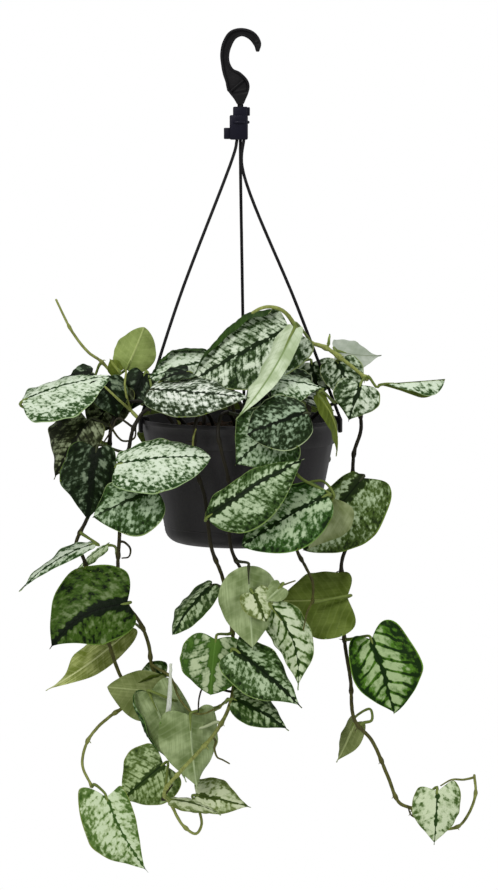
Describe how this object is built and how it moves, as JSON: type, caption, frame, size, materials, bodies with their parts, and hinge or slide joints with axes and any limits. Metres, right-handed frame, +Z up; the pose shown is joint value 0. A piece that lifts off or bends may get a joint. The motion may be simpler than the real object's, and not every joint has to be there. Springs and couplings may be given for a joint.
{
  "type": "satin pothos in a hanging pot",
  "caption": "Satin pothos with silver-mottled heart-shaped leaves on trailing vines, growing in a round plastic hanging pot on strands with a swivel hook.",
  "frame": {"origin": "the highest point inside the hook's bend, where the hook bears on the rod that carries it", "axes": "+Z up along the swivel's axis, -Y out of the plant's front, +X to the right seen from the front"},
  "size_m": [0.3411, 0.2247, 0.6219],
  "materials": {
    "hook_plastic": "satin",
    "hub_plastic": "satin",
    "strand_plastic": "satin",
    "pot_plastic": "satin",
    "potting_soil": "matte",
    "vine": "satin",
    "back_shoot": "satin",
    "leaf_silver": "satin",
    "leaf_mottled": "satin",
    "leaf_dark": "satin",
    "leaf_sage": "satin",
    "leaf_olive": "satin"
  },
  "bodies": {
    "hook": {"swivel_hook": "hook_plastic"},
    "hanging_pot": {"hanger_hub": "hub_plastic", "strand_left": "strand_plastic", "strand_right": "strand_plastic", "strand_back": "strand_plastic", "nursery_pot": "pot_plastic", "potting_soil": "potting_soil", "runner_top_left": "vine", "vine_left_outer": "vine", "vine_left_inner": "vine", "vine_front_left": "vine", "vine_front_middle": "vine", "vine_front_right": "vine", "vine_right": "vine", "vine_top_right": "vine", "shoot_back_left": "back_shoot", "shoot_back_middle": "back_shoot", "shoot_back_right": "back_shoot", "shoot_crown": "back_shoot", "leaf_left_silver": "leaf_silver", "leaf_left_pale_round": "leaf_sage", "leaf_left_hanging": "leaf_dark", "leaf_left_dark": "leaf_dark", "leaf_front_pale": "leaf_silver", "leaf_front_left_low": "leaf_mottled", "leaf_left_sliver": "leaf_silver", "leaf_left_narrow": "leaf_mottled", "leaf_left_heart": "leaf_dark", "leaf_left_olive": "leaf_olive", "leaf_low_olive": "leaf_olive", "leaf_low_sage_left": "leaf_sage", "leaf_low_sage_right": "leaf_sage", "leaf_low_mottled": "leaf_mottled", "leaf_low_heart": "leaf_silver", "leaf_low_thin": "leaf_mottled", "leaf_low_grey": "leaf_silver", "leaf_mid_left_narrow": "leaf_mottled", "leaf_mid_sage": "leaf_sage", "leaf_mid_light": "leaf_silver", "leaf_mid_olive": "leaf_olive", "leaf_mid_long": "leaf_mottled", "leaf_mid_dark": "leaf_dark", "leaf_mid_left_broad": "leaf_mottled", "leaf_right_heart": "leaf_dark", "leaf_right_small": "leaf_olive", "leaf_right_low_heart": "leaf_silver", "leaf_right_mottled": "leaf_mottled", "leaf_front_low": "leaf_mottled", "leaf_front_olive": "leaf_olive", "leaf_front_long": "leaf_mottled", "leaf_front_dark": "leaf_dark", "leaf_front_under": "leaf_mottled", "leaf_top_large": "leaf_mottled", "leaf_top_folded": "leaf_sage", "leaf_top_silver": "leaf_silver", "leaf_top_back_left": "leaf_silver", "leaf_top_light": "leaf_silver", "leaf_right_olive_strip": "leaf_olive", "leaf_right_droop": "leaf_mottled", "leaf_right_twisted": "leaf_mottled"}
  },
  "joints": [
    {"name": "hook_swivel", "type": "hinge", "parent": "hook", "child": "hanging_pot", "pos_m": [0, 0, -0.06], "axis": [0, 0, 1], "continuous": true}
  ]
}
